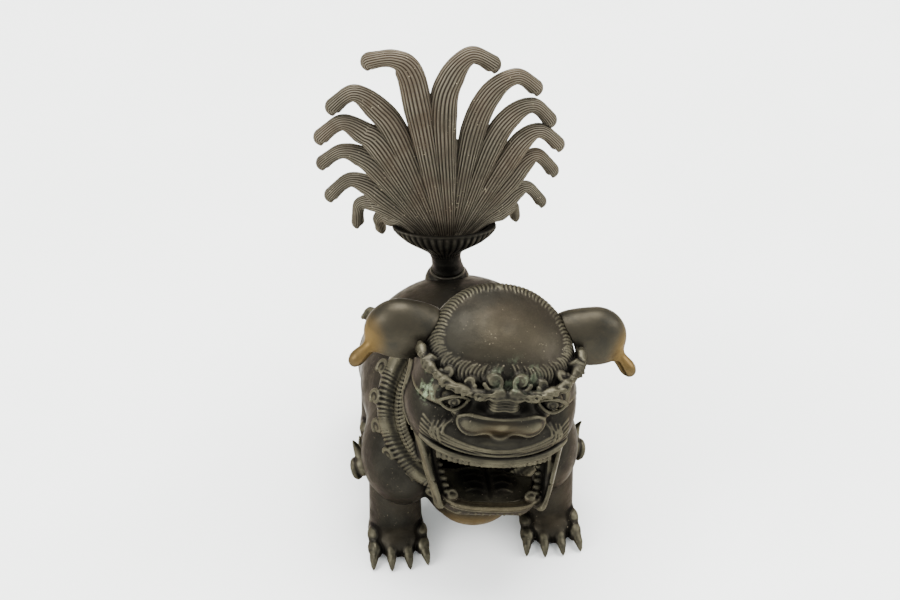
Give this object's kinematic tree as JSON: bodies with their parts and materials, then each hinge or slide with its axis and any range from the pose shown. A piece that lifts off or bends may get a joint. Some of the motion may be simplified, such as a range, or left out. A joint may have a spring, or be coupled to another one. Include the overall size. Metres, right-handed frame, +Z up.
{
  "type": "foo dog statue",
  "caption": "Hollow cast-bronze guardian lion incense burner: barrel body on clawed legs, hinged head with open mouth and drooping ears, lift-out grooved plume tail.",
  "frame": {"origin": "middle of the outer box, on the ground plane that the four paws stand on", "axes": "+Z up, the animal faces -Y, its own left side is +X"},
  "size_m": [0.1544, 0.1655, 0.241],
  "materials": {
    "dark_bronze": "near-black olive-brown patina with a low grey sheen, lighter on raised ridges",
    "worn_bronze": "patina rubbed through to golden brown on the proud parts",
    "tail_bronze": "matt brown patina with pale dust in the grooves",
    "pin_brass": "turned brass, dull"
  },
  "bodies": {
    "body": {"body_shell": "dark_bronze", "core_hole_cover": "worn_bronze", "mane_collar": "dark_bronze", "front_left_leg": "dark_bronze", "front_right_leg": "dark_bronze", "rear_left_leg": "dark_bronze", "rear_right_leg": "dark_bronze", "leg_cross_pins": "pin_brass", "left_elbow_tuft": "dark_bronze", "right_elbow_tuft": "dark_bronze", "left_hock_tuft": "dark_bronze", "right_hock_tuft": "dark_bronze", "tail_socket": "dark_bronze", "body_hinge_knuckles": "dark_bronze", "hinge_pin": "pin_brass"},
    "head": {"head_shell": "dark_bronze", "upper_jaw": "dark_bronze", "left_jowl": "dark_bronze", "right_jowl": "dark_bronze", "neck_flange": "dark_bronze", "lower_jaw": "dark_bronze", "tongue": "dark_bronze", "left_ear": "worn_bronze", "right_ear": "worn_bronze", "ear_rivets": "pin_brass", "head_hinge_knuckle": "dark_bronze"},
    "tail": {"tail_cup": "tail_bronze", "tail_plume": "tail_bronze"}
  },
  "joints": [
    {"name": "head_hinge", "type": "hinge", "parent": "body", "child": "head", "pos_m": [-0.00738, -0.00558, 0.12909], "axis": [-1, 0, 0], "range_deg": [0, 60]},
    {"name": "tail_lift", "type": "slide", "parent": "body", "child": "tail", "axis": [0, 0, 1], "range_m": [0, 0.02]}
  ]
}
